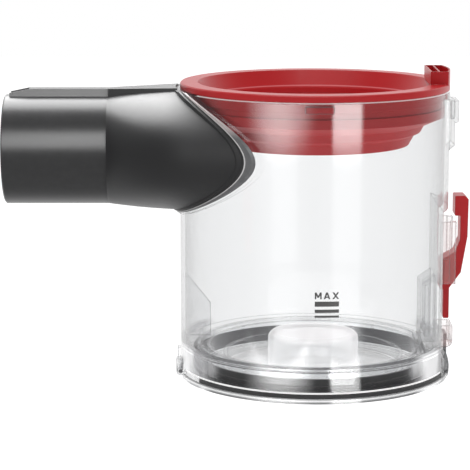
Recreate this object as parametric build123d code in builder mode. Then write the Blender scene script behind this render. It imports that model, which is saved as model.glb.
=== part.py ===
# Cyclone dust bin of a stick vacuum: a clear bin with a flared side inlet, a red scraper collar in its top,
# a hinged base with a seal, and a red release slider at the rear.
# Millimetres. The origin is on the bin's axis, on the underside of the base. +X points to the rear,
# -X along the inlet, +Z up.
import os
from math import cos, radians, sin

from build123d import *

# Clearances
seat_clearance = 0.05  # between fixed pieces
running_clearance = 0.4  # between pieces that move past each other
pin_clearance = 0.05  # radial, between the hinge pin and the barrel that turns on it

# Bin wall
bin_outer_radius = 57.5
bin_wall = 2.0
bin_bottom = 3.8
bin_top = 123.5
bin_top_chamfer = 0.8
bin_inner_radius = bin_outer_radius - bin_wall

# Rear flat, from the bottom of the bin up to a ledge
flat_depth = 3.7
flat_top = 73.0
flat_x = bin_outer_radius - flat_depth
flat_inner_x = flat_x - bin_wall

# Seal land: a thicker wall around the opening at the bottom
land_width = 3.6
land_top = 11.2
land_slope = 1.6
land_radius = bin_inner_radius - land_width
land_flat_x = flat_inner_x - land_width

# Rear pocket in the flat, with a slanted roof
pocket_depth = 6.0
pocket_half_width = 7.0
pocket_bottom = 16.5
pocket_top = 38.8
pocket_roof_rise = 3.9
pocket_x = flat_x - pocket_depth

# Release slider: plan section
slider_half_width = 5.0
slider_wing_half_width = 7.5
slider_wing_thickness = 1.9
slider_wing_gap = 2.0  # from the flat to the wings
slider_leg_thickness = 2.5
wing_x = flat_x + slider_wing_gap
wing_outer_x = wing_x + slider_wing_thickness
leg_outer_x = wing_x + slider_leg_thickness

# Release slider: heights
slider_top = 77.6
slider_hook_depth = 8.6
slider_neck_bottom = 57.0
slider_wing_bottom = 40.0
slider_wing_top = 50.2
slider_shoulder = 53.2
slider_knee = 37.5
slider_travel = 6.5
slider_foot_rise = 0.5
slider_foot_height = 12.0
slider_leg_bottom = 24.2

# Release slider: reach of the grip beyond the wings
slider_grip_reach = 8.3
slider_neck_reach = 4.9
slider_nose_reach = 2.5
slider_shoulder_reach = 2.8
slider_foot_depth = 1.6
slider_back_taper = 0.2
slider_back_slope = 2.8
slider_back_bend = 3.0  # above the foot of the neck
slider_back_foot = 12.7  # below the foot of the neck
slider_top_chamfer = 1.5
slider_neck_rise = 1.5
slider_corner_round = 0.5

# Rails of the slider, on the flat
rail_bottom = 40.0
rail_height = 27.0
rail_lip = 2.4
rail_wall = 1.6
rail_inner_y = slider_wing_half_width + running_clearance
rail_slot_y = slider_half_width + running_clearance
rail_lip_x = wing_outer_x + running_clearance

# Lower guide of the slider's leg
guide_bottom = 11.7
guide_height = 9.4
guide_wall = 1.2
guide_round = 2.6
guide_inner_y = slider_half_width + running_clearance
guide_inner_x = leg_outer_x + running_clearance

# Upper bracket, which hangs the bin on the body of the vacuum
bracket_drop = 4.7  # from the top of the bin
bracket_lip_height = 9.5
bracket_height = 19.1
bracket_slant = 3.4
bracket_round = 1.2
bracket_top = bin_top - bracket_drop
bracket_step = bracket_top - bracket_lip_height
bracket_bottom = bracket_top - bracket_height
bracket_half_width = 8.0
bracket_reach = 3.3
bracket_lower_reach = 1.7
bracket_end_wall = 2.0
bracket_slot_width = 1.4
bracket_slot_depth = 8.0
bracket_slot_offset = 0.2

# Hinge of the base, below the front wall
hinge_inset = 0.2  # of the axis, from the outside of the wall
hinge_x = hinge_inset - bin_outer_radius
hinge_z = 2.6
hinge_barrel_radius = 1.8
hinge_pin_radius = 0.8
barrel_half_length = 8.0
lug_width = 4.7
lug_top = 8.0
hinge_side_gap = 2.0
lug_inner_y = barrel_half_length + running_clearance
lug_outer_y = lug_inner_y + lug_width
hinge_notch_y = lug_outer_y + hinge_side_gap

# Inner fin on the front wall
fin_thickness = 1.6
fin_reach = 11.0
fin_top = 45.0
fin_shoulder = 30.0
fin_bottom = 15.5

# Inlet: the axis, the socket and the flare that wraps the bin
inlet_drop = 26.2  # of the axis, from the top of the bin
inlet_axis_z = bin_top - inlet_drop
socket_outer_radius = 23.3
socket_wall = 2.7
socket_mouth_chamfer = 0.6
socket_length = 44.0
socket_bore_radius = socket_outer_radius - socket_wall
duct_step = 1.6  # stop for the end of the wand
duct_radius = socket_bore_radius - duct_step
flare_length = 56.5
flare_half_angle = 58.0  # how far the flare wraps the bin, from the front
flare_half_height = 26.8  # at the end of the flare
flare_rise = 1.2  # of the centre of the flare, towards its end
flare_swell = 2.5  # how early the flare widens
flare_lip = 1.0  # thickness of the lip around its end
flare_lip_edge = 0.5
flare_steps = 5
port_half_angle = 45.0
port_half_height = 20.0

# Saddle of the bin and the gasket on it
saddle_proud = 0.9
saddle_edge = 0.7  # of the saddle, beyond the gasket
gasket_side_border = 2.3  # of the gasket, beyond the flare
gasket_border = 0.7
gasket_thickness = 0.7
saddle_radius = bin_outer_radius + saddle_proud
flare_seat_radius = saddle_radius + gasket_thickness + 2 * seat_clearance

# Key ridge along the top of the inlet
ridge_height = 2.7
ridge_top_half_width = 3.6
ridge_base_half_width = 5.7
ridge_end_half_width = 15.7
ridge_end_height = 4.6
ridge_end_slope = 2.0
ridge_start = 2.2  # from the mouth
ridge_ramp_length = 8.1
ridge_ramp_drop = 1.7
ridge_pocket_wall = 0.8
ridge_pocket_depth = 2.2

# Collar ring and its rear block
collar_rim_inset = 0.2  # from the outside of the bin
collar_rim_height = 2.7
collar_rim_width = 7.5
collar_depth = 7.2  # from the top of the bin to the foot of the collar
collar_ledge_drop = 4.8  # from the top of the bin to the ledge inside
collar_ledge_width = 9.2
collar_rib_height = 4.6
collar_groove_depth = 0.6
collar_fit = 0.3
collar_edge_chamfer = 0.5
rim_top = bin_top + seat_clearance + collar_rim_height
rim_radius = bin_outer_radius - collar_rim_inset
collar_radius = bin_inner_radius - collar_fit
collar_ledge_radius = collar_radius - collar_ledge_width
collar_foot = bin_top - collar_depth
block_height = 5.5
block_length = 9.4
block_half_width = 14.7
block_wall = 0.6
block_rib_inset = 3.7  # from the inner face of the block
block_pocket_depth = 4.0

# Clips of the collar, in pockets of the wall
clip_azimuths = (-90.0, 0.0, 90.0)
clip_width = 11.0
clip_height = 2.3
clip_drop = 2.1  # from the top of the bin to the clip
clip_reach = 0.9
clip_play = 0.3
clip_pocket_depth = 1.2

# Scraper skirt
skirt_lip_radius = 38.0
skirt_lip_height = 4.0
skirt_lip_wall = 2.3
skirt_bottom = 100.0
skirt_rib_height = 3.9
skirt_bead_height = 3.6
skirt_bead_width = 2.2
skirt_bead_inset = 5.6  # from the outside of the collar
skirt_bead_radius = collar_radius - skirt_bead_inset
skirt_inner_step = 1.6
skirt_steps = ((0.16, 0.35), (0.33, 0.45), (0.45, 0.71))  # shares of the funnel's width and height

# Base lid
lid_flange_overhang = 1.0
lid_flange_thickness = 2.0
lid_flat_overhang = 3.7  # beyond the rear flat of the bin
lid_edge_chamfer = 0.4
plug_wall = 1.8
plug_top = 12.8
seal_thickness = 1.2
flange_radius = bin_outer_radius + lid_flange_overhang
flange_flat_x = flat_x + lid_flat_overhang
seal_radius = land_radius - running_clearance
seal_flat_x = land_flat_x - running_clearance
plug_radius = seal_radius - seal_thickness
plug_flat_x = seal_flat_x - seal_thickness

# Pips above the seal, and the stiffening rings of the base
pip_azimuths = (-127.0, -55.0, 55.0, 127.0)
pip_radius = 0.7
pip_height = 1.2
pip_reach = 0.4
stiffener_wall = 1.6
stiffener_rings = ((4.3, 10.0), (11.3, 6.4))  # inset from the plug wall, and height above the flange

# Base seal
seal_top = 8.6
seal_lip_overhang = 0.3
seal_lip_setback = 8.5  # of the ends of the lip, from the front of the bin
seal_lip_top = bin_bottom - running_clearance
seal_lip_x = seal_lip_setback - bin_outer_radius

# Latch of the base
latch_top = 10.0
latch_nose_height = 2.0
latch_nose_depth = 0.6
latch_thickness = 1.3
latch_bulge = 0.5
latch_half_width = 11.0
latch_gap = 0.5  # from the latch to the leg of the slider at the end of its travel
catch_reach = 1.5
catch_bottom = 5.8
catch_height = 1.7
latch_nose_x = flat_x + catch_reach + running_clearance
latch_x = latch_nose_x + latch_nose_depth
latch_outer_x = latch_x + latch_thickness
latch_push_top = slider_leg_bottom - slider_travel - latch_gap
latch_push_half_width = guide_inner_y - 2 * running_clearance

# Centre seal of the base
cup_radius = 19.5
cup_top = 17.4
cup_wall = 2.4
cup_round = 2.8
spigot_height = 5.0
spigot_wall = 1.6


def d_plan(radius, flat, height):
    """Circle that is cut off by a flat at the rear."""
    with BuildSketch(Plane.XY.offset(height)) as plan:
        Circle(radius)
        with Locations((flat, 0)):
            Rectangle(2 * radius, 2 * radius, align=(Align.MIN, Align.CENTER), mode=Mode.SUBTRACT)
    return plan.sketch


def d_prism(radius, flat, bottom, top, mode=Mode.ADD):
    """Upright prism of a circle that is cut off by a flat at the rear."""
    extrude(d_plan(radius, flat, bottom), amount=top - bottom, mode=mode)


def inlet_prism(half_width, half_height, rise, mode=Mode.ADD):
    """Elliptical prism along the inlet, from in front of the bin to its axis."""
    with BuildSketch(Plane.YZ.offset(-2 * bin_outer_radius)) as section:
        with Locations((0, inlet_axis_z + rise)):
            Ellipse(half_width, half_height)
    extrude(section.sketch, amount=2 * bin_outer_radius, mode=mode)


def flare_loft(start_radius, end_half_width, end_half_height, end_rise, end_x, mode=Mode.ADD):
    """Smooth loft from a circle at the end of the socket to an ellipse, which widens fast and then slowly."""
    sections = []
    for step in range(flare_steps + 1):
        share = step / flare_steps
        swell = 1 - (1 - share) ** flare_swell
        with BuildSketch(Plane.YZ.offset(flare_start_x + share * (end_x - flare_start_x))) as section:
            with Locations((0, inlet_axis_z + share * end_rise)):
                Ellipse(
                    start_radius + swell * (end_half_width - start_radius),
                    start_radius + swell * (end_half_height - start_radius),
                )
        sections.append(section.sketch)
    loft(sections, mode=mode)


def wrap_width(radius, half_angle):
    """Half-width of an arc that spans half_angle to each side of the front."""
    return radius * sin(radians(half_angle))


def ring_sector(inner, outer):
    """Keeps what lies between two radii of the bin, below its top edge."""
    with BuildSketch(Plane.XY) as plan:
        Circle(outer)
        Circle(inner, mode=Mode.SUBTRACT)
    extrude(plan.sketch, amount=bin_top, mode=Mode.INTERSECT)


flare_half_width = wrap_width(flare_seat_radius, flare_half_angle)
flare_end_x = -flare_seat_radius * cos(radians(flare_half_angle))
flare_start_x = flare_end_x - flare_length
socket_mouth_x = flare_start_x - socket_length
gasket_half_width = flare_half_width + gasket_side_border
gasket_half_height = flare_half_height + gasket_border
port_half_width = wrap_width(bin_outer_radius, port_half_angle)
port_x = -bin_outer_radius * cos(radians(port_half_angle))

# Raised saddle around the port of the bin
with BuildPart() as bin_saddle:
    inlet_prism(gasket_half_width + saddle_edge, gasket_half_height + saddle_edge, flare_rise)
    ring_sector(bin_inner_radius, saddle_radius)

# Clear bin
with BuildPart() as bin_body:
    d_prism(bin_outer_radius, flat_x, bin_bottom, flat_top)
    with BuildSketch(Plane.XY.offset(flat_top)):
        Circle(bin_outer_radius)
    extrude(amount=bin_top - flat_top)
    chamfer(bin_body.edges().group_by(Axis.Z)[-1], bin_top_chamfer)
    add(bin_saddle.part)

    # Upper bracket: a stepped hook with a slot behind its lip
    with BuildSketch(Plane.XZ) as bracket_side:
        with BuildLine():
            Polyline(
                (0, bracket_bottom - bracket_slant),
                (0, bracket_top),
                (bin_outer_radius + bracket_reach, bracket_top),
                (bin_outer_radius + bracket_reach, bracket_step),
                (bin_outer_radius + bracket_lower_reach, bracket_step),
                (bin_outer_radius + bracket_lower_reach, bracket_bottom),
                (bin_inner_radius, bracket_bottom - bracket_slant),
                close=True,
            )
        make_face()
        fillet(bracket_side.vertices().group_by(Axis.Z)[-1].sort_by(Axis.X)[-1], bracket_round)
    extrude(amount=bracket_half_width, both=True)
    with BuildSketch(Plane.XY.offset(bracket_top)):
        with Locations((bin_outer_radius + bracket_slot_offset, 0)):
            Rectangle(
                bracket_slot_width,
                2 * (bracket_half_width - bracket_end_wall),
                align=(Align.MIN, Align.CENTER),
            )
    extrude(amount=-bracket_slot_depth, mode=Mode.SUBTRACT)

    # Dust space, with the seal land below and the ledge above the flat
    d_prism(land_radius, land_flat_x, bin_bottom, land_top, Mode.SUBTRACT)
    slope_top = land_top + land_slope
    loft(
        [d_plan(land_radius, land_flat_x, land_top), d_plan(bin_inner_radius, flat_inner_x, slope_top)],
        ruled=True,
        mode=Mode.SUBTRACT,
    )
    d_prism(bin_inner_radius, flat_inner_x, slope_top, flat_top + bin_wall, Mode.SUBTRACT)
    with BuildSketch(Plane.XY.offset(flat_top + bin_wall)):
        Circle(bin_inner_radius)
    extrude(amount=bin_top - flat_top - bin_wall, mode=Mode.SUBTRACT)

    # Inlet port
    inlet_prism(port_half_width, port_half_height, 0.0, Mode.SUBTRACT)

    # Rear pocket: a box with a slanted roof, hollow from outside
    for grow, mode in ((bin_wall, Mode.ADD), (0.0, Mode.SUBTRACT)):
        with BuildSketch(Plane.XZ):
            with BuildLine():
                Polyline(
                    (flat_x - bin_wall / 2 + (bin_wall - grow), pocket_bottom - grow),
                    (pocket_x - grow, pocket_bottom - grow),
                    (pocket_x - grow, pocket_top + grow / 2),
                    (flat_x - bin_wall / 2 + (bin_wall - grow), pocket_top + pocket_roof_rise + grow),
                    close=True,
                )
            make_face()
        extrude(amount=pocket_half_width + grow, both=True, mode=mode)

    # Rails: a block with a T-shaped channel
    with BuildSketch(Plane.XY.offset(rail_bottom)):
        with Locations((flat_x - bin_wall / 2, 0)):
            Rectangle(
                rail_lip_x + rail_lip - flat_x + bin_wall / 2,
                2 * (rail_inner_y + rail_wall),
                align=(Align.MIN, Align.CENTER),
            )
        with Locations((flat_x, 0)):
            Rectangle(
                rail_lip_x - flat_x,
                2 * rail_inner_y,
                align=(Align.MIN, Align.CENTER),
                mode=Mode.SUBTRACT,
            )
            Rectangle(
                2 * rail_lip_x - flat_x,
                2 * rail_slot_y,
                align=(Align.MIN, Align.CENTER),
                mode=Mode.SUBTRACT,
            )
    extrude(amount=rail_height)

    # Lower guide: a bucket with a rounded foot, open at top and bottom
    with BuildSketch(Plane.XZ) as guide_side:
        with Locations((flat_x - bin_wall / 2, guide_bottom)):
            Rectangle(
                guide_inner_x + guide_wall - flat_x + bin_wall / 2,
                guide_height,
                align=(Align.MIN, Align.MIN),
            )
        fillet(guide_side.vertices().group_by(Axis.X)[-1].sort_by(Axis.Z)[0], guide_round)
    extrude(amount=guide_inner_y + guide_wall, both=True)
    with BuildSketch(Plane.XY.offset(guide_bottom)):
        with Locations((flat_x, 0)):
            Rectangle(guide_inner_x - flat_x, 2 * guide_inner_y, align=(Align.MIN, Align.CENTER))
    extrude(amount=guide_height, mode=Mode.SUBTRACT)

    # Catch for the latch, on the flat
    with BuildSketch(Plane.XY.offset(catch_bottom)):
        with Locations((flat_x - bin_wall / 2, 0)):
            Rectangle(catch_reach + bin_wall / 2, 2 * latch_half_width, align=(Align.MIN, Align.CENTER))
    extrude(amount=catch_height)

    # Inner fin on the front wall
    with BuildSketch(Plane.XZ):
        with BuildLine():
            Polyline(
                (-bin_outer_radius + bin_wall / 2, fin_top),
                (-bin_inner_radius + fin_reach, fin_shoulder),
                (-bin_inner_radius + fin_reach, fin_bottom),
                (-bin_outer_radius + bin_wall / 2, fin_bottom),
                close=True,
            )
        make_face()
    extrude(amount=fin_thickness / 2, both=True)

    # Hinge: a notch for the barrel, and a lug at each side of it
    with BuildSketch(Plane.XY.offset(bin_bottom)):
        with Locations((-bin_outer_radius, 0)):
            Rectangle(4 * bin_wall, 2 * lug_inner_y)
    extrude(
        amount=hinge_z + hinge_barrel_radius + running_clearance - bin_bottom,
        mode=Mode.SUBTRACT,
    )
    for side in (-1, 1):
        with BuildSketch(Plane.XZ.offset(side * (lug_inner_y + lug_width / 2))):
            with Locations((hinge_x, hinge_z)):
                Circle(hinge_barrel_radius)
                Rectangle(2 * hinge_barrel_radius, lug_top - hinge_z, align=(Align.CENTER, Align.MIN))
                Circle(hinge_pin_radius + seat_clearance / 2, mode=Mode.SUBTRACT)
        extrude(amount=lug_width / 2, both=True)

    # Pockets for the clips of the collar
    for azimuth in clip_azimuths:
        with PolarLocations(bin_inner_radius, 1, azimuth):
            with Locations((0, 0, bin_top - clip_drop + clip_play)):
                Box(
                    2 * clip_pocket_depth,
                    clip_width + 2 * clip_play,
                    clip_height + 2 * clip_play,
                    align=(Align.CENTER, Align.CENTER, Align.MAX),
                    mode=Mode.SUBTRACT,
                )

# Gasket between the bin and the inlet
with BuildPart() as inlet_gasket:
    inlet_prism(gasket_half_width, gasket_half_height, flare_rise)
    ring_sector(saddle_radius + seat_clearance, saddle_radius + seat_clearance + gasket_thickness)
    inlet_prism(port_half_width, port_half_height, 0.0, Mode.SUBTRACT)

# Lip of the inlet, all around the end of its flare
with BuildPart() as inlet_lip:
    inlet_prism(flare_half_width, flare_half_height, flare_rise)
    ring_sector(flare_seat_radius, flare_seat_radius + flare_lip)

# Inlet tube: a round socket, and a flare from the round to a wide ellipse that wraps the bin
with BuildPart() as inlet_tube:
    with BuildSketch(Plane.YZ.offset(socket_mouth_x)):
        with Locations((0, inlet_axis_z)):
            Circle(socket_outer_radius)
    extrude(amount=socket_length)
    flare_loft(
        socket_outer_radius,
        flare_half_width - flare_lip_edge,
        flare_half_height - flare_lip_edge,
        flare_rise,
        flare_end_x,
    )
    add(inlet_lip.part)

    # Key ridge: straight over the socket, wider towards the bin
    ridge_x = socket_mouth_x + ridge_start
    ridge_stations = (
        (ridge_x, ridge_base_half_width, ridge_top_half_width, ridge_height),
        (flare_start_x, ridge_base_half_width, ridge_top_half_width, ridge_height),
        (flare_end_x, ridge_end_half_width + ridge_end_slope, ridge_end_half_width, ridge_end_height),
    )
    for (near, far) in zip(ridge_stations, ridge_stations[1:]):
        for (station_x, base_half, top_half, height) in (near, far):
            with BuildSketch(Plane.YZ.offset(station_x)):
                with BuildLine():
                    Polyline(
                        (-base_half, inlet_axis_z + duct_radius),
                        (-top_half, inlet_axis_z + socket_outer_radius + height),
                        (top_half, inlet_axis_z + socket_outer_radius + height),
                        (base_half, inlet_axis_z + duct_radius),
                        close=True,
                    )
                make_face()
        loft()

    # Ramp of the ridge at the mouth, with an open pocket in it
    ridge_top = inlet_axis_z + socket_outer_radius + ridge_height
    with BuildSketch(Plane.XZ):
        with BuildLine():
            Polyline(
                (ridge_x, ridge_top - ridge_ramp_drop),
                (ridge_x, ridge_top),
                (ridge_x + ridge_ramp_length, ridge_top),
                close=True,
            )
        make_face()
    extrude(amount=2 * ridge_base_half_width, both=True, mode=Mode.SUBTRACT)
    with BuildSketch(Plane.XY.offset(ridge_top)):
        with Locations((ridge_x, 0)):
            Rectangle(
                ridge_ramp_length,
                2 * (ridge_top_half_width - ridge_pocket_wall),
                align=(Align.MIN, Align.CENTER),
            )
    extrude(amount=-ridge_pocket_depth, mode=Mode.SUBTRACT)

    # Saddle face, socket bore and the duct to the port
    with BuildSketch(Plane.XY):
        Circle(flare_seat_radius)
    extrude(amount=2 * inlet_axis_z, mode=Mode.SUBTRACT)
    with BuildSketch(Plane.YZ.offset(socket_mouth_x)):
        with Locations((0, inlet_axis_z)):
            Circle(socket_bore_radius)
    extrude(amount=socket_length, mode=Mode.SUBTRACT)
    flare_loft(duct_radius, port_half_width, port_half_height, 0.0, port_x, Mode.SUBTRACT)
    mouth_edges = inlet_tube.edges().filter_by(GeomType.CIRCLE).group_by(Axis.X)[0]
    chamfer(mouth_edges.sort_by(SortBy.RADIUS)[-1], socket_mouth_chamfer)

# Collar ring: a rim on the top of the bin, a cone inside it, and a groove below for the root of the skirt
with BuildPart() as collar_ring:
    with BuildSketch(Plane.XZ):
        with BuildLine():
            Polyline(
                (rim_radius, bin_top + seat_clearance),
                (rim_radius, rim_top),
                (rim_radius - collar_rim_width, rim_top),
                (collar_ledge_radius, bin_top - collar_ledge_drop),
                (collar_ledge_radius, collar_foot),
                (collar_radius - collar_groove_depth, collar_foot),
                (collar_radius - collar_groove_depth, bin_top - collar_rib_height),
                (collar_radius, bin_top - collar_rib_height),
                (collar_radius, bin_top + seat_clearance),
                close=True,
            )
        make_face()
    revolve(axis=Axis.Z)
    chamfer(
        collar_ring.edges().filter_by(GeomType.CIRCLE).group_by(Axis.Z)[-1].sort_by(SortBy.RADIUS)[-1],
        collar_edge_chamfer,
    )
    with BuildSketch(Plane.XY.offset(collar_foot)):
        Circle(skirt_bead_radius + skirt_bead_width / 2 + seat_clearance)
        Circle(skirt_bead_radius - skirt_bead_width / 2 - seat_clearance, mode=Mode.SUBTRACT)
    extrude(amount=skirt_bead_height + seat_clearance, mode=Mode.SUBTRACT)

    # Rear block with two pockets
    block_x = rim_radius - block_length
    with BuildSketch(Plane.XY.offset(rim_top - collar_edge_chamfer)):
        Circle(rim_radius)
        with Locations((block_x, 0)):
            Rectangle(
                2 * block_length,
                2 * block_half_width,
                align=(Align.MIN, Align.CENTER),
                mode=Mode.INTERSECT,
            )
    extrude(amount=block_height + collar_edge_chamfer)
    with BuildSketch(Plane.XY.offset(rim_top + block_height)):
        Circle(rim_radius - block_wall)
        with Locations((block_x + block_wall, 0)):
            Rectangle(
                2 * block_length,
                2 * (block_half_width - block_wall),
                align=(Align.MIN, Align.CENTER),
                mode=Mode.INTERSECT,
            )
        with Locations((block_x + block_rib_inset, 0)):
            Rectangle(block_wall, 2 * block_half_width, mode=Mode.SUBTRACT)
    extrude(amount=-block_pocket_depth, mode=Mode.SUBTRACT)

    # Clips
    for azimuth in clip_azimuths:
        with PolarLocations(collar_radius, 1, azimuth):
            with Locations((0, 0, bin_top - clip_drop)):
                Box(
                    2 * clip_reach,
                    clip_width,
                    clip_height,
                    align=(Align.CENTER, Align.CENTER, Align.MAX),
                )

# Scraper skirt: a soft stepped funnel that ends in a round lip
with BuildPart() as scraper_skirt:
    skirt_top = collar_foot - seat_clearance
    rib_bottom = skirt_top - skirt_rib_height
    lip_top = skirt_bottom + skirt_lip_height
    funnel_height = rib_bottom - skirt_bottom
    lip_outer_radius = skirt_lip_radius + skirt_lip_wall
    funnel_width = collar_radius - lip_outer_radius
    with BuildSketch(Plane.XZ):
        with BuildLine():
            Polyline(
                (skirt_lip_radius, skirt_bottom),
                (lip_outer_radius, skirt_bottom),
                *[
                    (lip_outer_radius + out * funnel_width, skirt_bottom + up * funnel_height)
                    for (out, up) in skirt_steps
                ],
                (collar_radius, rib_bottom),
                (collar_radius, skirt_top),
                (collar_ledge_radius, skirt_top),
                (collar_ledge_radius - skirt_inner_step, rib_bottom),
                (skirt_lip_radius, lip_top),
                close=True,
            )
        make_face()
    revolve(axis=Axis.Z)
    with BuildSketch(Plane.XY.offset(skirt_top)):
        Circle(skirt_bead_radius + skirt_bead_width / 2)
        Circle(skirt_bead_radius - skirt_bead_width / 2, mode=Mode.SUBTRACT)
    extrude(amount=skirt_bead_height)

# Base lid: a flange under the bin, a plug wall inside it, a hinge barrel and a latch
with BuildPart() as base_lid:
    d_prism(flange_radius, flange_flat_x, 0.0, lid_flange_thickness)
    chamfer(base_lid.edges().group_by(Axis.Z)[-1], lid_edge_chamfer)
    d_prism(plug_radius, plug_flat_x, lid_flange_thickness, plug_top)
    d_prism(plug_radius - plug_wall, plug_flat_x - plug_wall, lid_flange_thickness, plug_top, Mode.SUBTRACT)

    # Pips that keep the seal down, and the stiffening rings
    for azimuth in pip_azimuths:
        with PolarLocations(plug_radius - pip_radius + pip_reach, 1, azimuth):
            with Locations((0, 0, seal_top + running_clearance)):
                Cylinder(pip_radius, pip_height, align=(Align.CENTER, Align.CENTER, Align.MIN))
    for ring_inset, ring_height in stiffener_rings:
        with BuildSketch(Plane.XY.offset(lid_flange_thickness)):
            Circle(plug_radius - ring_inset)
            Circle(plug_radius - ring_inset - stiffener_wall, mode=Mode.SUBTRACT)
        extrude(amount=ring_height)

    # Locating ring for the centre seal
    with BuildSketch(Plane.XY.offset(lid_flange_thickness)):
        Circle(cup_radius - cup_wall - seat_clearance)
        Circle(cup_radius - cup_wall - seat_clearance - spigot_wall, mode=Mode.SUBTRACT)
    extrude(amount=spigot_height)

    # Front edge, cut back clear of the lugs, and the barrel with its web
    hinge_cut_x = hinge_x + hinge_barrel_radius + running_clearance
    with BuildSketch(Plane.XY):
        with Locations((hinge_cut_x, 0)):
            Rectangle(flange_radius, 2 * hinge_notch_y, align=(Align.MAX, Align.CENTER))
    extrude(amount=lid_flange_thickness, mode=Mode.SUBTRACT)
    with BuildSketch(Plane.XZ):
        with Locations((hinge_x, hinge_z)):
            Circle(hinge_barrel_radius)
        with Locations((hinge_x, lid_flange_thickness)):
            Rectangle(
                2 * (hinge_cut_x - hinge_x),
                lid_flange_thickness + hinge_barrel_radius - hinge_z,
                align=(Align.MIN, Align.MAX),
            )
    extrude(amount=barrel_half_length, both=True)
    with BuildSketch(Plane.XZ):
        with Locations((hinge_x, hinge_z)):
            Circle(hinge_pin_radius + pin_clearance)
    extrude(amount=barrel_half_length, both=True, mode=Mode.SUBTRACT)

    # Latch: a hook across the rear, which the leg of the slider presses
    with BuildSketch(Plane.XZ):
        with BuildLine():
            Polyline(
                (latch_outer_x, 0),
                (latch_x, 0),
                (latch_x, latch_top - latch_nose_height),
                (latch_nose_x, latch_top - latch_nose_height),
                (latch_x, latch_top),
                (latch_x + latch_thickness / 2, latch_top),
            )
            ThreePointArc(
                (latch_x + latch_thickness / 2, latch_top),
                (latch_outer_x + latch_bulge, latch_top / 2),
                (latch_outer_x, 0),
            )
        make_face()
    extrude(amount=latch_half_width, both=True)
    with BuildSketch(Plane.XY):
        with Locations((latch_x, 0)):
            Rectangle(latch_thickness, 2 * latch_push_half_width, align=(Align.MIN, Align.CENTER))
    extrude(amount=latch_push_top)

# Base seal: a band on the plug wall, and a lip under the edge of the bin
with BuildPart() as base_seal:
    lip_bottom = lid_flange_thickness + seat_clearance
    d_prism(bin_outer_radius + seal_lip_overhang, flat_x + seal_lip_overhang, lip_bottom, seal_lip_top)
    with BuildSketch(Plane.XY.offset(lip_bottom)):
        with Locations((seal_lip_x, 0)):
            Rectangle(flange_radius, 2 * flange_radius, align=(Align.MAX, Align.CENTER))
    extrude(amount=seal_top, mode=Mode.SUBTRACT)
    d_prism(seal_radius, seal_flat_x, lip_bottom, seal_top)
    d_prism(
        plug_radius + seat_clearance,
        plug_flat_x + seat_clearance,
        lip_bottom,
        seal_top,
        Mode.SUBTRACT,
    )

# Centre seal: a soft cup, upside down on its locating ring
with BuildPart() as centre_seal:
    with BuildSketch(Plane.XY.offset(lid_flange_thickness + seat_clearance)):
        Circle(cup_radius)
    extrude(amount=cup_top - lid_flange_thickness - seat_clearance)
    fillet(centre_seal.edges().group_by(Axis.Z)[-1], cup_round)
    with BuildSketch(Plane.XY.offset(lid_flange_thickness + seat_clearance)):
        Circle(cup_radius - cup_wall)
    extrude(amount=cup_top - cup_wall - lid_flange_thickness, mode=Mode.SUBTRACT)

# Hinge pin
with BuildPart() as hinge_pin:
    with BuildSketch(Plane.XZ):
        with Locations((hinge_x, hinge_z)):
            Circle(hinge_pin_radius)
    extrude(amount=lug_outer_y, both=True)

# Release slider: a hooked grip, a slanted back and a leg, with wings that run in the rails
with BuildPart() as release_slider:
    grip_x = wing_outer_x + slider_grip_reach
    neck_x = wing_outer_x + slider_neck_reach
    with BuildSketch(Plane.XZ) as slider_side:
        with BuildLine():
            Polyline(
                (wing_outer_x + slider_nose_reach, slider_top),
                (grip_x - slider_top_chamfer, slider_top),
                (grip_x, slider_top - slider_top_chamfer),
                (grip_x - slider_back_taper, slider_neck_bottom + slider_back_bend),
                (grip_x - slider_back_slope, slider_neck_bottom - slider_back_foot),
                (leg_outer_x, slider_knee),
                (leg_outer_x, slider_leg_bottom),
                (wing_x, slider_leg_bottom),
                (wing_x, slider_knee - slider_foot_rise),
                (wing_x - slider_foot_depth, slider_knee - slider_foot_rise),
                (wing_x - slider_foot_depth, slider_knee + slider_foot_height),
                (wing_outer_x + slider_shoulder_reach, slider_shoulder),
                (neck_x, slider_neck_bottom + slider_neck_rise),
                (neck_x, slider_top - slider_hook_depth),
                (wing_outer_x + slider_nose_reach, slider_top - slider_hook_depth),
                close=True,
            )
        make_face()
        fillet(slider_side.vertices(), slider_corner_round)
    extrude(amount=slider_half_width, both=True)
    with BuildSketch(Plane.XY.offset(slider_wing_bottom)):
        with Locations((wing_x, 0)):
            Rectangle(slider_wing_thickness, 2 * slider_wing_half_width, align=(Align.MIN, Align.CENTER))
    extrude(amount=slider_wing_top - slider_wing_bottom)

pieces = {
    "bin_body": bin_body,
    "inlet_tube": inlet_tube,
    "inlet_gasket": inlet_gasket,
    "collar_ring": collar_ring,
    "scraper_skirt": scraper_skirt,
    "base_lid": base_lid,
    "base_seal": base_seal,
    "centre_seal": centre_seal,
    "hinge_pin": hinge_pin,
    "release_slider": release_slider,
}

os.makedirs("parts", exist_ok=True)
for name, piece in pieces.items():
    piece.part.label = name
    export_step(piece.part, f"parts/{name}.step")
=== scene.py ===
import math

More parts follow.
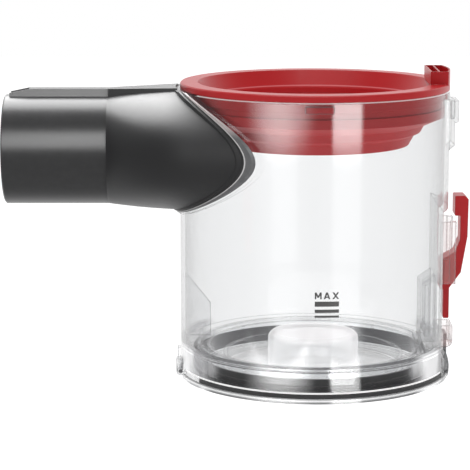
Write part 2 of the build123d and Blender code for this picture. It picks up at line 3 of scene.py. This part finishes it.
import bpy
import numpy as np
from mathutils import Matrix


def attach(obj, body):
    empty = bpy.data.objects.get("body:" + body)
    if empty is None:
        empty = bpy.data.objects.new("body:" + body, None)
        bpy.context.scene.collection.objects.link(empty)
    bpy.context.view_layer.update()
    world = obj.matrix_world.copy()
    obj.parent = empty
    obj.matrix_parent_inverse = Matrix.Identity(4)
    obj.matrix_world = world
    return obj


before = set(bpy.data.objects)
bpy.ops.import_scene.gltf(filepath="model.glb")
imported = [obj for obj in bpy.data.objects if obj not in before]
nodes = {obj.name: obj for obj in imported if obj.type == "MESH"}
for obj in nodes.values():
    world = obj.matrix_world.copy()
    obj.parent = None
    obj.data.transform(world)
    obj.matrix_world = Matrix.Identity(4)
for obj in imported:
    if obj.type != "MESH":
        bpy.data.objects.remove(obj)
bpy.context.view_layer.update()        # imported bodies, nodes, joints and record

mm = 0.001
scene = bpy.context.scene


class Wire:
    # a socket of a node tree: arithmetic on it adds Math nodes, and node() adds any other kind
    def __init__(self, tree, socket=None):
        self.tree = tree
        self.socket = socket

    def node(self, kind, settings=None, plugs=None, out=0):
        # settings come first, then each plug is linked to a wire or given a value
        made = self.tree.nodes.new(kind)
        for key, value in (settings or {}).items():
            setattr(made, key, value)
        for key, value in (plugs or {}).items():
            if isinstance(value, Wire):
                self.tree.links.new(value.socket, made.inputs[key])
            else:
                made.inputs[key].default_value = value
        return Wire(self.tree, made.outputs[out] if made.outputs else None)

    def math(self, operation, *values):
        return self.node("ShaderNodeMath", {"operation": operation}, dict(enumerate(values)))

    def __add__(self, other):
        return self.math("ADD", self, other)

    def __radd__(self, other):
        return self.math("ADD", other, self)

    def __sub__(self, other):
        return self.math("SUBTRACT", self, other)

    def __rsub__(self, other):
        return self.math("SUBTRACT", other, self)

    def __mul__(self, other):
        return self.math("MULTIPLY", self, other)

    def __rmul__(self, other):
        return self.math("MULTIPLY", other, self)

    def __pow__(self, other):
        return self.math("POWER", self, other)

    def __rpow__(self, other):
        return self.math("POWER", other, self)


# shared pieces of the finishes

def rgba(red, green, blue):
    # an opaque colour
    return (red, green, blue, 1.0)


white = rgba(1, 1, 1)


def newMaterial(name):
    # a material with an empty tree, and the wire that its nodes grow from
    material = bpy.data.materials.new(name)
    material.use_nodes = True
    material.node_tree.nodes.clear()
    return material, Wire(material.node_tree)


def finishMaterial(root, surface):
    # the shader goes to the output
    root.node("ShaderNodeOutputMaterial", None, {"Surface": surface})


def principled(root, plugs):
    # the main shader, with the sockets that are given
    return root.node("ShaderNodeBsdfPrincipled", None, plugs)


def veil(root, share, through, shader):
    # the shader at this share, over a clear layer with the colour of what shows through
    clear = root.node("ShaderNodeBsdfTransparent", None, {"Color": through})
    return root.node("ShaderNodeMixShader", None, {0: share, 1: clear, 2: shader})


def mixColour(root, share, first, second):
    # first at share 0, second at share 1
    return root.node(
        "ShaderNodeMix",
        {"data_type": "RGBA"},
        {"Factor": share, "A": first, "B": second},
        "Result",
    )


def spread(share, ends):
    # first end at share 0, last end at share 1
    return ends[0] + share * (ends[1] - ends[0])


def smoothRange(root, value, low, high):
    # 0 below low, 1 above high, smooth in between; low may lie above high
    return root.node(
        "ShaderNodeMapRange",
        {"interpolation_type": "SMOOTHSTEP"},
        {"Value": value, "From Min": low, "From Max": high, "To Min": 0.0, "To Max": 1.0},
    )


def zoneRange(root, value, ends):
    # the same, over a pair of millimetre places
    return smoothRange(root, value, ends[0] * mm, ends[1] * mm)


def bandAt(root, value, level, half, core=0.0):
    # 1 within the core of a level, 0 from half a width on, all in millimetres
    return zoneRange(root, root.math("ABSOLUTE", value - level * mm), (half, core))


def objectNoise(root, scale, detail=2.0, stretch=(1.0, 1.0, 1.0)):
    # 3-D noise on the piece's own metres, stretched along each axis
    place = root.node("ShaderNodeTexCoord", out="Object")
    mapped = root.node("ShaderNodeMapping", None, {"Vector": place, "Scale": stretch})
    plugs = {"Vector": mapped, "Scale": scale, "Detail": detail}
    return root.node("ShaderNodeTexNoise", None, plugs, "Fac")


def objectAxis(root, axis):
    # one of the piece's own coordinates: X to the rear, Y across, Z up
    place = root.node("ShaderNodeTexCoord", out="Object")
    return root.node("ShaderNodeSeparateXYZ", None, {0: place}, axis)


def axisDistance(root):
    # distance from the axis of the bin: the root of x^2 + y^2
    rear = objectAxis(root, "X")
    side = objectAxis(root, "Y")
    return (rear * rear + side * side) ** 0.5


def faceNormal(root):
    return root.node("ShaderNodeNewGeometry", out="Normal")        # unit vector out of the surface


def turnedAway(root):
    # 0 where the surface looks straight at the eye, 1 at its outline
    return root.node("ShaderNodeLayerWeight", None, {"Blend": 0.5}, "Facing")


def alignment(root, first, second):
    # cosine of the angle between two unit vectors
    return root.node("ShaderNodeVectorMath", {"operation": "DOT_PRODUCT"}, {0: first, 1: second}, "Value")


edgeRounding = {"samples": 6, "lean": (0.985, 0.80)}        # lean: cosines where an edge starts and is full


def roundedNormal(root, width):
    # the normal that the piece would have with its edges rounded over this width
    settings = {"samples": edgeRounding["samples"]}
    return root.node("ShaderNodeBevel", settings, {"Radius": width * mm}, "Normal")


def sharpEdges(root, width):
    # 1 along a sharp edge: there the rounded normal leans away from the face's own
    lean = alignment(root, roundedNormal(root, width), faceNormal(root))
    return smoothRange(root, lean, *edgeRounding["lean"])


# clear bin and base

clearLook = {
    # rearTintAndPaintedShade on the bin: the pink of the red slider leg seen through the rear guide
    "film": rgba(0.14, 0.142, 0.145), "rearTintAndPaintedShade": rgba(0.60, 0.38, 0.36), "edge": rgba(0.06, 0.06, 0.063),
    # edge, line and ring: dark lines of painted shade along edges and on rings round the front
    "haze": 0.016, "turned": 0.12, "outline": 0.42,        # cover all over, turning away, at the outline
    "rearTintAndPaintedShadeCover": 0.05, "line": 0.70, "ring": 0.75, "land": 0.50,        # cover of each zone
    "lineWidth": 0.65,
    "rings": ((50.0, 14.4, 0.6), (50.0, 12.8, 0.4)),        # from a radius outwards, height, half width
}
baseLook = {
    # rearTintAndPaintedShade on the base: painted shade, dark at the rear of the base
    "film": rgba(0.20, 0.20, 0.205), "rearTintAndPaintedShade": rgba(0.03, 0.03, 0.032), "edge": rgba(0.03, 0.03, 0.032),
    # edge, line and ring: dark lines of painted shade along edges and on rings round the flange
    "haze": 0.010, "turned": 0.03, "outline": 0.16,
    "rearTintAndPaintedShadeCover": 0.60, "line": 0.75, "ring": 0.75, "land": 0.0,
    "lineWidth": 0.7,
    "rings": ((57.4, 0.2, 1.2), (57.4, 2.2, 0.9)),
}
glaze = {"shine": 0.85, "roughness": 0.03, "mirror": (0.04, 1.0), "through": rgba(0.976, 0.978, 0.98)}
streaks = {
    "scale": 60.0, "detail": 3.0, "stretch": (1.0, 1.0, 0.25),
    "cover": 0.008, "roughness": (0.2, 0.3), "patches": (0.38, 0.62),
}
runnerZone = {"rear": (53.0, 56.5), "height": (76.0, 68.0)}        # the rear, from the slider down
ringZone = {"front": (0.0, -25.0), "core": 0.3, "start": 0.4}
landZone = {
    "height": (17.0, 13.0), "turned": (0.35, 0.52), "upright": (0.5, 0.2),
    # dark and paintedPale: the patches of the land's painted reflection
    "dark": rgba(0.25, 0.25, 0.26), "paintedPale": rgba(0.85, 0.85, 0.86),
}


def ringLine(root, inner, level, half):
    # a line round the axis: a band at its level, outside the inner radius only
    outside = zoneRange(root, axisDistance(root), (inner, inner + ringZone["start"]))
    return bandAt(root, objectAxis(root, "Z"), level, half, ringZone["core"] * half) * outside


def clearPlastic(name, look):
    # a thin grey film over a clear body, under a glaze with mirror share 0.04 + 0.96 turned^5
    # the film covers more where the wall turns away; along its edges and on rings round the front it is
    # painted dark, painted shade for the dark lines that clear plastic shows there the thick land at the
    # foot of the wall is painted pale where it turns away, a painted reflection of light thrown back inside
    # solid plastic
    material, root = newMaterial(name)
    turned = turnedAway(root)
    outline = turned ** 5.0
    height = objectAxis(root, "Z")
    streak = objectNoise(root, streaks["scale"], streaks["detail"], streaks["stretch"])
    runner = zoneRange(root, objectAxis(root, "X"), runnerZone["rear"])
    runner = runner * zoneRange(root, height, runnerZone["height"])
    edges = sharpEdges(root, look["lineWidth"])
    rings = root.math("MAXIMUM", *[ringLine(root, *ring) for ring in look["rings"]])
    rings = rings * zoneRange(root, objectAxis(root, "Y"), ringZone["front"])
    lean = root.node("ShaderNodeSeparateXYZ", None, {0: faceNormal(root)}, "Z")
    # the land: a painted reflection, pale where the thick foot turns away
    land = zoneRange(root, height, landZone["height"]) * smoothRange(root, turned, *landZone["turned"])
    land = land * smoothRange(root, lean * lean, *landZone["upright"])
    # the rear colour: on the bin the pink of the red leg seen through, on the base painted shade
    filmWithRearTintAndShade = mixColour(root, runner, look["film"], look["rearTintAndPaintedShade"])
    # painted shade: dark lines along sharp edges and on the rings
    filmWithShadeLines = mixColour(root, root.math("MAXIMUM", edges, rings), filmWithRearTintAndShade, look["edge"])
    patches = smoothRange(root, streak, *streaks["patches"])
    paintedLandGlare = mixColour(root, patches, landZone["dark"], landZone["paintedPale"])
    film = principled(root, {
        "Base Color": mixColour(root, land, filmWithShadeLines, paintedLandGlare),
        "Roughness": spread(streak, streaks["roughness"]),
        "Specular IOR Level": 0.3,
    })
    cover = look["haze"] + streak * streaks["cover"]
    cover = cover + turned * turned * look["turned"] + outline * look["outline"]
    cover = cover + runner * look["rearTintAndPaintedShadeCover"] + edges * look["line"]
    cover = cover + land * look["land"] + rings * look["ring"]
    body = veil(root, cover, glaze["through"], film)
    gloss = root.node("ShaderNodeBsdfGlossy", None, {"Color": white, "Roughness": glaze["roughness"]})
    mirror = spread(outline, glaze["mirror"]) * glaze["shine"]
    finishMaterial(root, root.node("ShaderNodeMixShader", None, {0: mirror, 1: body, 2: gloss}))
    return material


# dark inlet tube

graphiteLook = {
    "deep": rgba(0.028, 0.028, 0.029), "light": rgba(0.038, 0.038, 0.039),
    "grain": 420.0, "roughness": (0.29, 0.34),
    "flarePaintedShade": rgba(0.018, 0.018, 0.019), "flareStart": (-90.0, -86.0), "saddleStart": (-66.0, -46.0),
    "flare": 0.06, "saddle": 0.28,        # roughness that each adds
}


def satinGraphite():
    # fine speckle in the colour and in the gloss; the flare is softer than the socket and painted darker,
    # painted shade for how it turns from the lights, and the gloss fades towards the saddle
    look = graphiteLook
    material, root = newMaterial("satinGraphite")
    speckle = objectNoise(root, look["grain"])
    along = objectAxis(root, "X")
    flare = zoneRange(root, along, look["flareStart"])
    saddle = zoneRange(root, along, look["saddleStart"])
    grey = mixColour(root, speckle, look["deep"], look["light"])
    softer = flare * look["flare"] + saddle * look["saddle"]
    finishMaterial(root, principled(root, {
        # the flare's darker colour is painted shade
        "Base Color": mixColour(root, flare, grey, look["flarePaintedShade"]),
        "Roughness": spread(speckle, look["roughness"]) + softer,
        "Specular IOR Level": 0.6,
    }))
    return material


# red collar, slider and scraper

redLook = {
    "deep": rgba(0.52, 0.015, 0.019), "bright": rgba(0.61, 0.021, 0.026), "drift": 45.0,
    "grain": 700.0, "bump": 0.03, "bumpDepth": 0.2, "edgeRound": 0.7,
    # a painted highlight: a light line on the inner lip of the collar
    "lipHighlight": rgba(0.80, 0.20, 0.22), "lipHighlightHeight": 119.6, "lipHighlightHalf": 0.45, "lipHighlightReach": (47.5, 46.8),
}


def redPlastic(name, roughness, coat):
    # slow drift in the colour, fine grain in the gloss, edges rounded in the normal
    # a painted highlight runs round the inside of the collar: a light line where its inner lip catches the
    # light
    look = redLook
    material, root = newMaterial(name)
    drift = objectNoise(root, look["drift"], 3.0)
    grain = objectNoise(root, look["grain"])
    lipHighlight = bandAt(root, objectAxis(root, "Z"), look["lipHighlightHeight"], look["lipHighlightHalf"])
    lipHighlight = lipHighlight * zoneRange(root, axisDistance(root), look["lipHighlightReach"])
    red = mixColour(root, drift, look["deep"], look["bright"])
    grained = {
        "Height": grain,
        "Strength": look["bump"],
        "Distance": look["bumpDepth"] * mm,
        "Normal": roundedNormal(root, look["edgeRound"]),
    }
    finishMaterial(root, principled(root, {
        "Base Color": mixColour(root, lipHighlight, red, look["lipHighlight"]),
        "Roughness": spread(grain, roughness),
        "Specular IOR Level": 0.4,
        "Coat Weight": coat,
        "Coat Roughness": 0.08,
        "Normal": root.node("ShaderNodeBump", None, grained, "Normal"),
    }))
    return material


# rubber seals, soft cup and hinge pin

gasketLook = {
    "halfWidth": 50.2, "halfHeight": 26.8, "middle": 98.5,        # the ellipse of the tube's saddle
    # line and bright: a painted highlight line round the ellipse; shadow: painted shade beside the tube;
    # paintedPale: painted light on the top
    "border": 0.045, "line": 0.33, "lineFade": (0.10, 0.04),        # shares of the ellipse and of the border
    "dark": rgba(0.09, 0.09, 0.093), "light": rgba(0.16, 0.16, 0.165), "shadow": rgba(0.03, 0.03, 0.031),
    "paintedPale": rgba(0.45, 0.40, 0.40), "paintedPaleFrom": (107.5, 112.5), "bright": rgba(0.55, 0.54, 0.54),
    "grain": 500.0, "roughness": (0.3, 0.45),
}


def gasketRubber():
    # reach is the distance past the ellipse: the root of (y / half width)^2 + (z / half height)^2, less 1
    # grey; painted paler towards its top, painted light where the top catches it; painted shadow dark beside
    # the tube; a painted highlight line round the ellipse
    look = gasketLook
    material, root = newMaterial("greyRubber")
    grain = objectNoise(root, look["grain"], 3.0)
    height = objectAxis(root, "Z")
    side = objectAxis(root, "Y") * (1.0 / (look["halfWidth"] * mm))
    rise = (height - look["middle"] * mm) * (1.0 / (look["halfHeight"] * mm))
    reach = ((side * side + rise * rise) ** 0.5 - 1.0) * (1.0 / look["border"])
    past = smoothRange(root, reach, look["line"] - look["lineFade"][0], look["line"])
    # the painted highlight line
    line = smoothRange(root, root.math("ABSOLUTE", reach - look["line"]), *look["lineFade"])
    rubber = mixColour(root, grain, look["dark"], look["light"])
    paintedTopLight = mixColour(root, zoneRange(root, height, look["paintedPaleFrom"]), rubber, look["paintedPale"])
    beside = mixColour(root, past, look["shadow"], paintedTopLight)
    finishMaterial(root, principled(root, {
        "Base Color": mixColour(root, line, beside, look["bright"]),
        "Roughness": spread(grain, look["roughness"]),
    }))
    return material


sealLook = {
    # inner: a painted reflection of the clear plug wall on the seal's inner face
    "dark": rgba(0.045, 0.045, 0.046), "light": rgba(0.075, 0.075, 0.077), "inner": rgba(0.17, 0.17, 0.175),
    "innerLean": (0.2, -0.4), "grain": 500.0, "roughness": (0.4, 0.55),
}


def sealRubber():
    # black, and painted greyer on the side that faces the axis of the bin: a painted reflection of the clear
    # plug wall in front of it
    look = sealLook
    material, root = newMaterial("blackRubber")
    grain = objectNoise(root, look["grain"], 3.0)
    place = root.node("ShaderNodeTexCoord", out="Object")
    level = root.node("ShaderNodeVectorMath", {"operation": "MULTIPLY"}, {0: place, 1: (1.0, 1.0, 0.0)})
    outwards = root.node("ShaderNodeVectorMath", {"operation": "NORMALIZE"}, {0: level})
    lean = alignment(root, outwards, faceNormal(root))
    rubber = mixColour(root, grain, look["dark"], look["light"])
    # the painted reflection on the inner side
    inner = smoothRange(root, lean, *look["innerLean"])
    finishMaterial(root, principled(root, {
        "Base Color": mixColour(root, inner, rubber, look["inner"]),
        "Roughness": spread(grain, look["roughness"]),
    }))
    return material


cupLook = {
    "dark": rgba(0.88, 0.89, 0.90), "light": rgba(0.94, 0.94, 0.95), "through": rgba(0.96, 0.96, 0.96),
    "cloud": 120.0, "roughness": (0.3, 0.4), "glow": 0.36, "cover": (0.32, 0.72),
}


def milkySilicone():
    # half see-through in the middle, whiter by turned^3 towards its outline, with a faint painted glow from
    # within: emission that stands in for light scattered in the cup
    look = cupLook
    material, root = newMaterial("milkySilicone")
    cloud = objectNoise(root, look["cloud"], 3.0)
    milk = principled(root, {
        "Base Color": mixColour(root, cloud, look["dark"], look["light"]),
        "Roughness": spread(cloud, look["roughness"]),
        # a painted glow: emission from a cup that is no lamp
        "Emission Color": white,
        "Emission Strength": look["glow"],
    })
    cover = spread(turnedAway(root) ** 3.0, look["cover"])
    finishMaterial(root, veil(root, cover, look["through"], milk))
    return material


pinLook = {
    "dark": rgba(0.52, 0.52, 0.54), "light": rgba(0.66, 0.66, 0.68),
    "lines": 400.0, "stretch": (8.0, 0.3, 8.0), "roughness": (0.25, 0.40),
}


def drawnSteel():
    # noise drawn out along the pin, in the colour and in the gloss
    look = pinLook
    material, root = newMaterial("drawnSteel")
    lines = objectNoise(root, look["lines"], 2.0, look["stretch"])
    finishMaterial(root, principled(root, {
        "Base Color": mixColour(root, lines, look["dark"], look["light"]),
        "Metallic": 1.0,
        "Roughness": spread(lines, look["roughness"]),
    }))
    return material


redGloss = redPlastic("redPlastic", (0.30, 0.38), 0.12)
finishes = {
    "bin_body": clearPlastic("clearWall", clearLook),
    "base_lid": clearPlastic("clearBase", baseLook),
    "inlet_tube": satinGraphite(),
    "inlet_gasket": gasketRubber(),
    "base_seal": sealRubber(),
    "collar_ring": redGloss,
    "release_slider": redGloss,
    "scraper_skirt": redPlastic("redSilicone", (0.42, 0.50), 0.0),
    "centre_seal": milkySilicone(),
    "hinge_pin": drawnSteel(),
}
for nodeName, finish in finishes.items():
    slots = nodes[nodeName].data.materials
    slots.clear()
    slots.append(finish)
print("finishes on", len(finishes), "moulded pieces")


# sheets that lie on the wall

def stripFaces(count, columns):
    # quads between the two rows of each strip, strip after strip
    low = np.arange(columns - 1)
    quads = np.stack([low, low + 1, low + columns + 1, low + columns], axis=-1)
    starts = np.arange(count) * 2 * columns
    return (quads + starts[:, None, None]).reshape(-1, 4)


def addPiece(name, points, faces, material, body, smooth=True):
    # a mesh from an array of points, whatever its grid, and its quads
    mesh = bpy.data.meshes.new(name)
    mesh.from_pydata(points.reshape(-1, 3).tolist(), [], faces.tolist())
    mesh.polygons.foreach_set("use_smooth", np.full(len(mesh.polygons), smooth))
    mesh.materials.append(material)
    piece = bpy.data.objects.new(name, mesh)
    scene.collection.objects.link(piece)
    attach(piece, body)


# level mark: a word and three bars, printed on the wall

markPlan = {
    "x": 3.3, "width": 9.9, "word": (43.7, 46.5),        # millimetres from the middle and up
    "bars": ((40.6, 42.7), (38.0, 39.4), (36.0, 36.9)),
    "radius": 57.5, "lift": 0.03, "columns": 16,
}
inkLook = {
    "dark": rgba(0.006, 0.006, 0.006), "light": rgba(0.014, 0.014, 0.014),
    "grain": 800.0, "roughness": (0.4, 0.55),
}


def wallInk():
    # noise between two blacks, and in the gloss
    look = inkLook
    material, root = newMaterial("printInk")
    grain = objectNoise(root, look["grain"], 3.0)
    finishMaterial(root, principled(root, {
        "Base Color": mixColour(root, grain, look["dark"], look["light"]),
        "Roughness": spread(grain, look["roughness"]),
    }))
    return material


def wrapOnWall(flat):
    # flat x becomes an arc length round the front of the bin, flat y a height
    radius = (markPlan["radius"] + markPlan["lift"]) * mm
    angle = flat[..., 0] / radius
    return np.stack([radius * np.sin(angle), -radius * np.cos(angle), flat[..., 1]], axis=-1)


def levelBars(ink):
    # each bar is a row at its foot and a row at its top, wrapped on the wall
    plan = markPlan
    across = np.linspace(-0.5, 0.5, plan["columns"]) * plan["width"] + plan["x"]
    up = np.array(plan["bars"])
    flat = np.stack(np.broadcast_arrays(across, up[..., None]), axis=-1) * mm
    faces = stripFaces(len(up), plan["columns"])
    addPiece("level_bars", wrapOnWall(flat), faces, ink, "bin")


letterPitch = 1.27        # a letter and the gap after it
letterBars = {
    # foot x, foot y, top x, top y, width: a slanted bar with level ends, in a letter one unit wide and high
    "M": (
        (0.11, 0.0, 0.11, 1.0, 0.22), (0.89, 0.0, 0.89, 1.0, 0.22),
        (0.50, 0.22, 0.13, 1.0, 0.26), (0.50, 0.22, 0.87, 1.0, 0.26),
    ),
    "A": ((0.13, 0.0, 0.50, 1.0, 0.26), (0.87, 0.0, 0.50, 1.0, 0.26), (0.50, 0.20, 0.50, 0.38, 0.62)),
    "X": ((0.14, 0.0, 0.86, 1.0, 0.28), (0.86, 0.0, 0.14, 1.0, 0.28)),
}


def levelWord(ink):
    # each bar's four corners, letter after letter, stretched to the word's box and wrapped on the wall
    plan = markPlan
    bars = [(*bar, place * letterPitch) for place, letter in enumerate("MAX") for bar in letterBars[letter]]
    footX, footY, topX, topY, width, shift = np.array(bars).T
    half = width / 2
    across = np.stack([footX - half, footX + half, topX + half, topX - half], axis=-1)
    up = np.stack([footY, footY, topY, topY], axis=-1)
    low, high = plan["word"]
    left = plan["x"] - plan["width"] / 2
    scale = plan["width"] / (2 * letterPitch + 1)
    flat = np.stack([left + (across + shift[:, None]) * scale, low + up * (high - low)], axis=-1) * mm
    faces = np.arange(4 * len(bars)).reshape(-1, 4)
    addPiece("level_word", wrapOnWall(flat), faces, ink, "bin", False)


printInk = wallInk()
levelBars(printInk)
levelWord(printInk)
print("level mark printed")


# painted edge glints: white strips on the top and bottom edges of the clear wall, a painted highlight for
# the light that the cut edges catch

edgeGlintPlan = {
    "strips": (
        # radii and heights of the two sides, and the turns where the strip starts and ends
        ((57.53, 57.53), (3.85, 4.6), (-162.0, -22.0)),
        ((57.53, 57.53), (3.85, 4.6), (22.0, 162.0)),
        ((57.43, 57.03), (122.9, 123.3), (-150.0, 150.0)),
    ),
    "columns": 120,
    # the strips' white and glow are painted light
    "dark": rgba(0.85, 0.85, 0.85), "light": rgba(0.95, 0.95, 0.95), "through": rgba(0.99, 0.99, 0.99),
    "cloud": 90.0, "roughness": 0.3, "glow": 0.5,
    "cover": (0.70, 1.0), "upper": (20.0, 100.0), "upperLess": 0.30,
}


def paintedEdgeGlint():
    # a painted highlight: half see-through white with a glow, uneven along the edge, fainter at the top of
    # the bin
    look = edgeGlintPlan
    material, root = newMaterial("paintedEdgeGlint")
    cloud = objectNoise(root, look["cloud"], 3.0)
    upper = zoneRange(root, objectAxis(root, "Z"), look["upper"])
    frost = principled(root, {
        "Base Color": mixColour(root, cloud, look["dark"], look["light"]),
        "Roughness": look["roughness"],
        "Emission Color": white,
        "Emission Strength": look["glow"],
    })
    cover = spread(cloud, look["cover"]) - upper * look["upperLess"]
    finishMaterial(root, veil(root, cover, look["through"], frost))
    return material


def paintedEdgeGlints():
    # each strip runs from turn to turn about the bin's axis: radius times cosine and sine of the turn
    # a turn is degrees from the rear
    plan = edgeGlintPlan
    radii, heights, turns = np.array(plan["strips"]).transpose(1, 0, 2)        # each has a row for a strip
    turn = np.linspace(*np.radians(turns.T), plan["columns"], axis=-1)[:, None, :]
    radius = radii[..., None]
    places = np.broadcast_arrays(radius * np.cos(turn), radius * np.sin(turn), heights[..., None])
    points = np.stack(places, axis=-1) * mm
    faces = stripFaces(len(radii), plan["columns"])
    addPiece("painted_edge_glints", points, faces, paintedEdgeGlint(), "bin")


paintedEdgeGlints()
print("edges polished")


# studio: white floor, strips for the clear wall, boxes for the tube, and a soft light overhead

glossNames = ("bin_body", "base_lid", "level_bars", "level_word")
tubeNames = ("inlet_tube", "inlet_gasket")
keyNames = tuple(name for name in nodes if name not in tubeNames)
studio = {
    # turn is degrees to the right of the camera's side, tilt degrees up from it, over the top
    # far and size are metres, soft the share of the width that fades, on the pieces that are lit
    "leftStrip": {
        "turn": -31.0, "tilt": 0.0, "far": 1.3, "size": (1.7, 1.3),
        "radiance": 9.0, "soft": 0.5, "on": glossNames,
    },
    "rightStrip": {
        "turn": 25.5, "tilt": 0.0, "far": 1.3, "size": (0.66, 1.3),
        "radiance": 12.0, "soft": 0.16, "on": glossNames,
    },
    "tubeFront": {
        "turn": -10.0, "tilt": 26.5, "far": 1.2, "size": (0.24, 0.70),
        "radiance": 13.0, "soft": 0.20, "on": tubeNames,
    },
    "tubeTop": {
        "turn": 0.0, "tilt": 124.0, "far": 1.0, "size": (2.0, 0.95),
        "radiance": 7.0, "soft": 0.05, "on": tubeNames,
    },
    "keyTop": {
        "turn": -20.0, "tilt": 78.0, "far": 1.1, "size": (1.2, 0.9),
        "radiance": 3.0, "soft": 0.2, "on": keyNames,
    },
}
aim = np.array([0.0, 0.0, 0.07])        # the middle of the bin
dimming = {"upper": (0.376, 0.412), "lower": (0.224, 0.208), "middle": 0.07, "top": 0.62}
floorLook = {"size": 6.0, "level": -0.14, "glow": 1.0, "tone": 0.35}        # below the open base
worldLook = {"around": (0.20, 0.95), "depth": (-0.1, 0.8)}        # in front and behind


def fadeWindow(root, plan):
    # brightness over a light: rises from both sides over the share given by soft
    # the wall's strips are dimmed where the empty middle of the bin mirrors them
    place = root.node("ShaderNodeNewGeometry", out="Parametric")
    across = root.node("ShaderNodeSeparateXYZ", None, {0: place}, "X")
    window = smoothRange(root, root.math("MINIMUM", across, 1.0 - across), 0.0, plan["soft"])
    if plan["on"] != glossNames:
        return window
    up = root.node("ShaderNodeSeparateXYZ", None, {0: place}, "Y")
    upper = smoothRange(root, up, *dimming["upper"]) * dimming["top"]
    lower = smoothRange(root, up, *dimming["lower"])
    return window * (dimming["middle"] + (upper + lower))


def softbox(name, plan):
    # an area light on a sphere round the aim, at its turn and tilt, facing the aim
    # energy is radiance times pi times the light's area
    turn = math.radians(plan["turn"])
    tilt = math.radians(plan["tilt"])
    level = math.cos(tilt)
    towards = np.array([math.sin(turn) * level, -math.cos(turn) * level, math.sin(tilt)])
    light = bpy.data.lights.new(name, "AREA")
    light.shape = "RECTANGLE"
    light.size, light.size_y = plan["size"]
    light.energy = plan["radiance"] * math.pi * light.size * light.size_y
    light.use_nodes = True
    light.node_tree.nodes.clear()
    root = Wire(light.node_tree)
    glow = root.node("ShaderNodeEmission", None, {"Strength": fadeWindow(root, plan)})
    root.node("ShaderNodeOutputLight", None, {"Surface": glow})
    box = bpy.data.objects.new(name, light)
    box.location = aim + towards * plan["far"]
    box.rotation_euler = (math.pi / 2 - tilt, 0.0, turn)
    scene.collection.objects.link(box)
    lit = bpy.data.collections.new(name + "Lit")
    for litName in plan["on"]:
        lit.objects.link(nodes.get(litName) or bpy.data.objects[litName])
    box.light_linking.receiver_collection = lit


def whiteFloor():
    # one glowing square below the bin, unseen in mirrors and shadows
    look = floorLook
    half = look["size"] / 2
    corners = [[x * half, y * half, look["level"]] for x, y in ((-1, -1), (1, -1), (1, 1), (-1, 1))]
    mesh = bpy.data.meshes.new("floor")
    mesh.from_pydata(corners, [], [[0, 1, 2, 3]])
    material, root = newMaterial("floorWhite")
    finishMaterial(root, principled(root, {
        "Base Color": rgba(look["tone"], look["tone"], look["tone"]),
        "Roughness": 1.0,
        "Specular IOR Level": 0.0,
        "Emission Color": white,
        "Emission Strength": look["glow"],
    }))
    mesh.materials.append(material)
    floor = bpy.data.objects.new("floor", mesh)
    floor.visible_glossy = False
    floor.visible_shadow = False
    scene.collection.objects.link(floor)


def studioWorld():
    # white for the camera; for everything else bright behind the bin and dim in front of it
    look = worldLook
    world = bpy.data.worlds.new("studioWhite")
    world.use_nodes = True
    world.node_tree.nodes.clear()
    root = Wire(world.node_tree)
    seen = root.node("ShaderNodeLightPath", out="Is Camera Ray")
    way = root.node("ShaderNodeTexCoord", out="Generated")
    depth = root.node("ShaderNodeSeparateXYZ", None, {0: way}, "Y")
    around = spread(smoothRange(root, depth, *look["depth"]), look["around"])
    strength = seen + (1.0 - seen) * around
    light = root.node("ShaderNodeBackground", None, {"Color": white, "Strength": strength})
    root.node("ShaderNodeOutputWorld", None, {"Surface": light})
    scene.world = world


for boxName, boxPlan in studio.items():
    softbox(boxName, boxPlan)
whiteFloor()
studioWorld()

cameraPlan = {
    "place": (-33.94, -857.0, 215.0), "tiltDown": 10.27,
    "focalPixels": 2019.0, "frame": 470.0, "sensor": 36.0, "near": 0.01,
}


def buildCamera():
    # lens is the sensor's width times the focal length over the frame's width, both in pixels
    plan = cameraPlan
    data = bpy.data.cameras.new("camera")
    data.sensor_width = plan["sensor"]
    data.lens = plan["sensor"] * plan["focalPixels"] / plan["frame"]
    data.clip_start = plan["near"]
    camera = bpy.data.objects.new("camera", data)
    camera.location = np.array(plan["place"]) * mm
    camera.rotation_euler = (math.radians(90.0 - plan["tiltDown"]), 0.0, 0.0)
    scene.collection.objects.link(camera)
    scene.camera = camera


buildCamera()
scene.view_settings.view_transform = "Standard"
scene.cycles.transparent_max_bounces = 32        # a ray meets many clear walls
print("studio and camera set")
